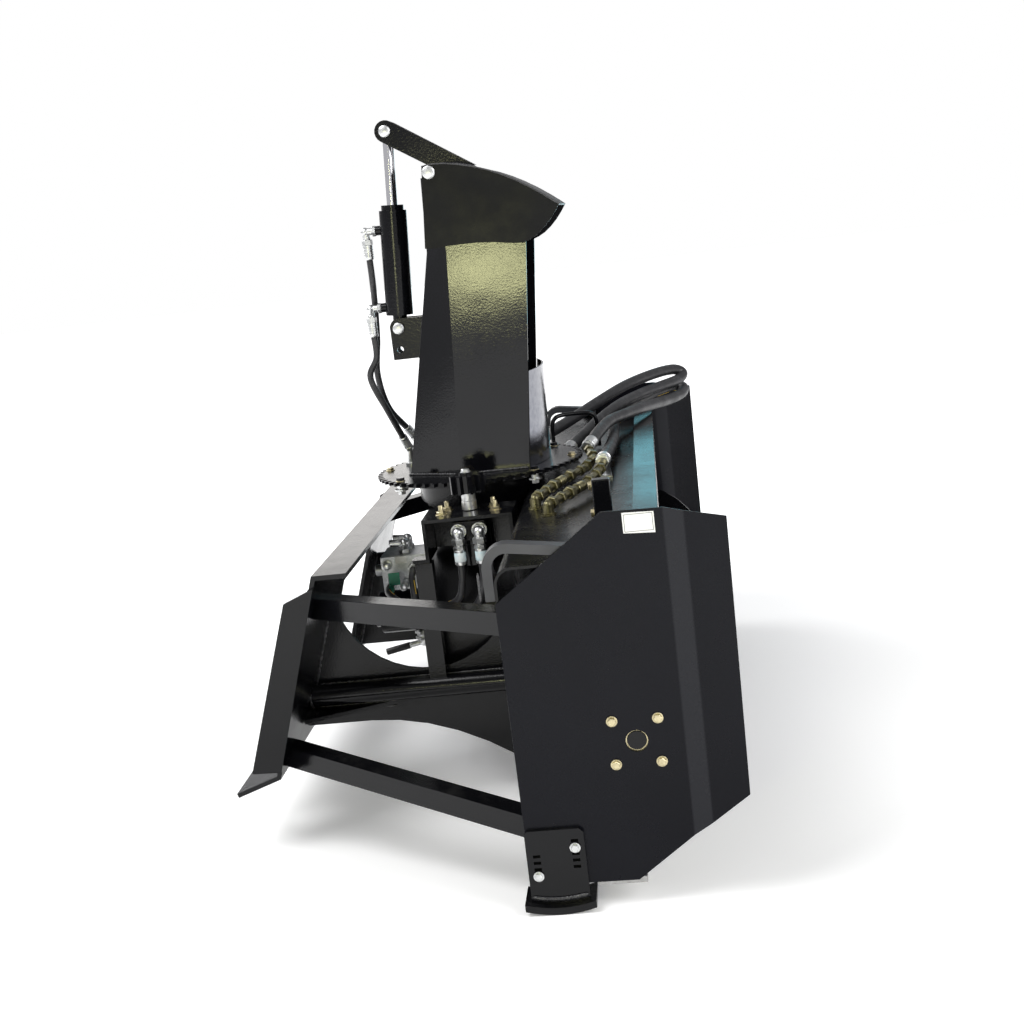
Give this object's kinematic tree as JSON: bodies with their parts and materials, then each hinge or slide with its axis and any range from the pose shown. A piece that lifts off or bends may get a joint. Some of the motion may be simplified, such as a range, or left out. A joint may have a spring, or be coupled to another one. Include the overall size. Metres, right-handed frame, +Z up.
{
  "type": "skid-steer snow blower attachment",
  "caption": "Skid-steer snow blower with quick-attach plate, auger, impeller, geared rotating chute and cylinder-operated deflector.",
  "frame": {"origin": "on the ground under the centre of the bounding box, which is also the chute axis", "axes": "+X to the operator's right, along the auger; +Y forward to the intake; +Z up, along the chute axis"},
  "size_m": [1.8546, 1.0652, 1.515],
  "materials": {
    "black_paint": "gloss",
    "panel_paint": "satin",
    "zinc": "yellow zinc plated",
    "steel": "zinc plated",
    "chrome": "polished",
    "aluminium": "machined",
    "rubber": "matt",
    "label": "matt"
  },
  "bodies": {
    "base": {"attach_cheek_left": "black_paint", "attach_cheek_right": "black_paint", "bracket_post": "black_paint", "corner_bar_left": "black_paint", "corner_bar_right": "black_paint", "cutting_edge": "steel", "drive_motor": "black_paint", "end_panel_left": "panel_paint", "end_panel_right": "panel_paint", "feed_hose_a": "rubber", "feed_hose_b": "rubber", "gearbox": "black_paint", "hose_holder": "steel", "housing_shell": "black_paint", "impeller_drum": "black_paint", "lower_strut_left": "black_paint", "lower_strut_right": "black_paint", "panel_label": "label", "quick_attach_plate": "black_paint", "rotation_bracket": "black_paint", "rotation_elbow_a": "steel", "rotation_elbow_b": "steel", "rotation_hose_a": "rubber", "rotation_hose_b": "rubber", "rotation_motor": "black_paint", "shaft_bearing_left": "zinc", "shaft_bearing_right": "zinc", "shutoff_valve": "steel", "side_tube_left": "black_paint", "side_tube_right": "black_paint", "side_web_left": "black_paint", "side_web_right": "black_paint", "skid_shoe_left": "black_paint", "skid_shoe_right": "black_paint", "throat_collar": "black_paint", "top_beam": "black_paint", "upper_strut_left": "black_paint", "upper_strut_right": "black_paint", "valve_block": "aluminium"},
    "auger": {"auger": "black_paint"},
    "impeller": {"impeller": "black_paint"},
    "pinion": {"pinion": "black_paint"},
    "chute": {"ring_gear": "black_paint", "chute": "black_paint", "chute_apron": "steel", "cylinder_bracket": "black_paint", "ring_roller_1": "steel", "ring_roller_2": "steel", "ring_roller_3": "steel", "ring_roller_4": "steel"},
    "deflector": {"deflector_hood": "black_paint", "deflector_lever": "black_paint"},
    "cylinder_barrel": {"cylinder_barrel": "black_paint", "cylinder_elbow_a": "steel", "cylinder_elbow_b": "steel", "cylinder_hose_a": "rubber", "cylinder_hose_b": "rubber"},
    "cylinder_rod": {"cylinder_rod": "chrome"},
    "valve_lever": {"valve_lever": "rubber"}
  },
  "joints": [
    {"name": "impeller_spin", "type": "hinge", "parent": "base", "child": "impeller", "pos_m": [0, 0, 0.36], "axis": [0, 1, 0], "continuous": true},
    {"name": "auger_spin", "type": "hinge", "parent": "base", "child": "auger", "pos_m": [0, 0.337, 0.318], "axis": [1, 0, 0], "continuous": true},
    {"name": "chute_turn", "type": "hinge", "parent": "base", "child": "chute", "pos_m": [0, 0, 0.7], "axis": [0, 0, 1], "range_deg": [-110, 110]},
    {"name": "pinion_spin", "type": "hinge", "parent": "base", "child": "pinion", "pos_m": [0.2746, 0, 0.7], "axis": [0, 0, 1], "range_deg": [-800, 800]},
    {"name": "deflector_tilt", "type": "hinge", "parent": "chute", "child": "deflector", "pos_m": [0, -0.016, 1.384], "axis": [1, 0, 0], "range_deg": [-12, 28]},
    {"name": "cylinder_swing", "type": "hinge", "parent": "chute", "child": "cylinder_barrel", "pos_m": [0, -0.147, 1.045], "axis": [1, 0, 0], "range_deg": [-3, 6]},
    {"name": "rod_slide", "type": "slide", "parent": "cylinder_barrel", "child": "cylinder_rod", "axis": [0, 0.0628, 0.998], "range_m": [-0.06, 0.027]},
    {"name": "lever_turn", "type": "hinge", "parent": "base", "child": "valve_lever", "pos_m": [0, -0.19, 0.27], "axis": [0, 0, 1], "range_deg": [-90, 0]}
  ],
  "couplings": [
    {"joint": "auger_spin", "follows": "impeller_spin", "ratio": 0.1},
    {"joint": "pinion_spin", "follows": "chute_turn", "ratio": -7.1111},
    {"joint": "cylinder_swing", "follows": "deflector_tilt", "ratio": 0.2},
    {"joint": "rod_slide", "follows": "deflector_tilt", "m_per_rad": -0.118}
  ]
}
